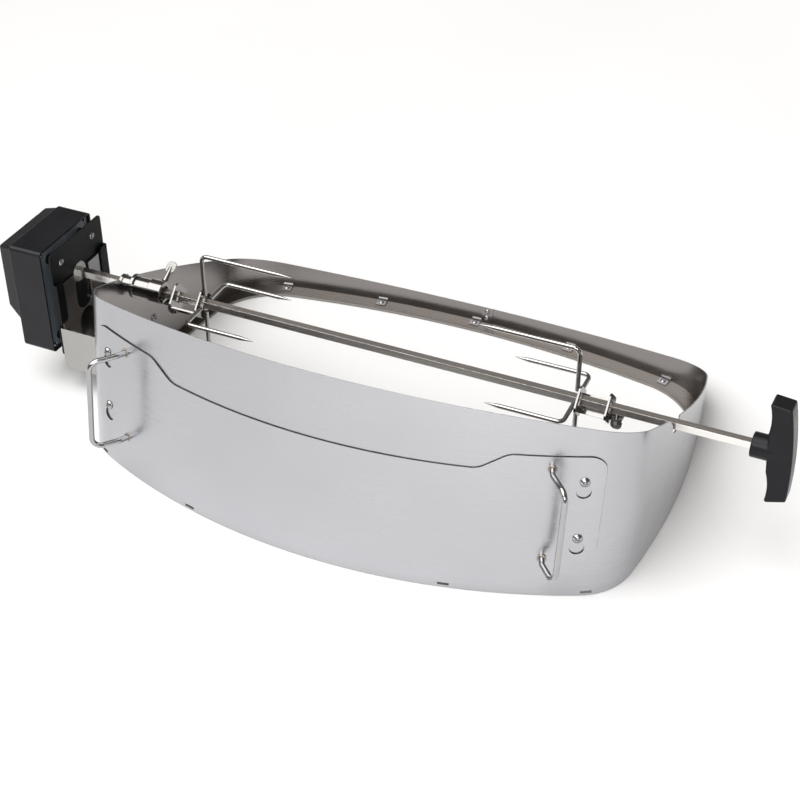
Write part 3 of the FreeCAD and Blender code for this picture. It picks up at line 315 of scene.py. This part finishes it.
FINISH = {
    wall_steel: ("collar",),
    panel_steel: ("front_panel",),
    ring_steel: ("seat_ring",),
    bracket_steel: ("motor_bracket",),
    rod_steel: ("spit_rod",),
    bright: ("panel_handle_left", "panel_handle_right", "seam_rivets", "seat_ring_screws",
             "panel_screws", "panel_nuts", "bracket_bolts", "bracket_nuts", "plate_screws",
             "case_screws", "handle_pin"),
    plated: ("right_fork_tines", "left_fork_tines"),
    chrome_painted_shade: ("spit_bushing", "bushing_thumb_screw", "right_fork_bracket", "left_fork_bracket",
                  "right_fork_thumb_screw", "left_fork_thumb_screw"),
    zinc: ("drive_hub", "gear_plate", "gear_pillars", "idler_pin", "rotor_pinion"),
    iron: ("stator_core", "rotor"),
    copper: ("stator_coil",),
    bronze: ("hub_bearing",),
    coat: ("motor_plate", "plate_spacers"),
    plastic: ("motor_case", "switch_bezel"),
    grip_plastic: ("handle_grip",),
    cover_paint: ("motor_cover",),
    rocker_plastic: ("rocker_switch",),
    rubber: ("cord_gland",),
    nylon: ("output_gear", "idler_gear"),
}
for finish, nodes in FINISH.items():
    for node in nodes:
        for slot in NODES[node].material_slots:
            slot.material = finish


# ======================================================================= weld beads
def weld_bead(name, centre, axis, major, minor, body, seed):
    """A ring of weld metal: a torus whose section swells and shrinks round the joint."""
    around, across = 40, 10
    frame_z = Vector(axis).normalized()
    frame_x = frame_z.orthogonal().normalized()
    frame_y = frame_z.cross(frame_x)
    mesh = bmesh.new()
    rings = []
    for i in range(around):
        turn = 2 * math.pi * i / around
        swell = minor * (1 + 0.16 * math.sin(5 * turn + seed) + 0.10 * math.sin(9 * turn + 2.3 * seed))
        out = frame_x * math.cos(turn) + frame_y * math.sin(turn)
        ring = []
        for j in range(across):
            lift = 2 * math.pi * j / across
            offset = out * (major + swell * math.cos(lift)) + frame_z * swell * math.sin(lift)
            ring.append(mesh.verts.new(Vector(centre) + offset))
        rings.append(ring)
    for i in range(around):
        a, b = rings[i], rings[(i + 1) % around]
        for j in range(across):
            k = (j + 1) % across
            mesh.faces.new((a[j], b[j], b[k], a[k]))
    bmesh.ops.recalc_face_normals(mesh, faces=mesh.faces)
    data = bpy.data.meshes.new(name)
    mesh.to_mesh(data)
    mesh.free()
    for face in data.polygons:
        face.use_smooth = True
    piece = bpy.data.objects.new(name, data)
    bpy.context.scene.collection.objects.link(piece)
    data.materials.append(bead)
    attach(piece, body)


LEAN = math.radians(8.3)
LEG_SPLAY = 0.12
WELD_RING = 0.0034
WELD_HALF_THICK = 0.0011
for index, (node, foot) in enumerate(FEET):
    splay = LEG_SPLAY if "right" in node else -LEG_SPLAY
    way = Vector((splay, -math.cos(LEAN), math.sin(LEAN)))
    weld_bead("handle_weld_%d" % index, foot, way, WELD_RING, WELD_HALF_THICK, "panel", index * 1.7)


# ======================================================================= studio
FLOOR_SIZE = 14.0
FLOOR_BACK = 2.0
FLOOR_GAP = 0.0005


def make_floor():
    """Matt pale paper just under the collar, reaching further back than forward."""
    bpy.ops.mesh.primitive_plane_add(size=FLOOR_SIZE, location=(0, FLOOR_BACK, -FLOOR_GAP))
    floor = bpy.context.object
    floor.name = "floor"
    s = Shader("floor_paper")
    cloud = s.noise(1.5, 2.0, 0.5)
    s.set(Base_Color=s.ramp(cloud, [(0.3, (0.9, 0.9, 0.9)), (0.7, (0.93, 0.93, 0.93))]), Roughness=0.9,
          Specular_IOR_Level=0.2)
    floor.data.materials.append(s.material)


def make_world():
    """A dim warm room above the pale floor."""
    world = bpy.data.worlds.new("studio")
    bpy.context.scene.world = world
    world.use_nodes = True
    tree = world.node_tree
    background = tree.nodes["Background"]
    coordinate = tree.nodes.new("ShaderNodeTexCoord")
    split = tree.nodes.new("ShaderNodeSeparateXYZ")
    ramp = tree.nodes.new("ShaderNodeValToRGB")
    tree.links.new(coordinate.outputs["Generated"], split.inputs[0])
    tree.links.new(split.outputs["Z"], ramp.inputs["Fac"])
    stops = [(0.0, (0.60, 0.60, 0.61)), (0.12, (0.36, 0.345, 0.335)), (0.4, (0.14, 0.125, 0.115)),
             (0.8, (0.24, 0.225, 0.21))]
    set_stops(ramp.color_ramp, stops)
    tree.links.new(ramp.outputs["Color"], background.inputs["Color"])
    background.inputs["Strength"].default_value = 1.0


def hang_lamp(light, location, target):
    """Put a light in the scene, aimed at a target."""
    lamp = bpy.data.objects.new(light.name, light)
    bpy.context.scene.collection.objects.link(lamp)
    lamp.location = location
    lamp.rotation_euler = (Vector(target) - Vector(location)).to_track_quat("-Z", "Y").to_euler()


def area_light(name, size, power, location, target):
    light = bpy.data.lights.new(name, "AREA")
    light.shape = "RECTANGLE"
    light.size, light.size_y = size
    light.energy = power
    hang_lamp(light, location, target)


def broad_key(name, power, spread, location):
    """A wide soft key that lights the whole floor evenly."""
    light = bpy.data.lights.new(name, "SUN")
    light.energy = power
    light.angle = math.radians(spread)
    hang_lamp(light, location, (0, 0, 0))


make_floor()
make_world()
broad_key("key", 2.75, 60.0, (-1.5, -1.1, 3.2))
area_light("overhead", (2.0, 1.6), 9.0, (-0.3, 0.2, 2.8), (0, 0, 0))
area_light("front_fill", (0.9, 0.5), 11.0, (0.5, -1.4, 0.95), (0.18, -0.55, 0))

# ======================================================================= camera
camera = bpy.data.cameras.new("camera")
camera.lens = 72.31
camera.sensor_width = 36.0
camera.clip_start = 0.05
viewer = bpy.data.objects.new("camera", camera)
bpy.context.scene.collection.objects.link(viewer)
viewer.location = (0.59337, -1.30499, 1.11089)
viewer.rotation_euler = tuple(math.radians(a) for a in (53.102, 0.08, 24.054))
bpy.context.scene.camera = viewer
bpy.context.scene.view_settings.view_transform = "Standard"
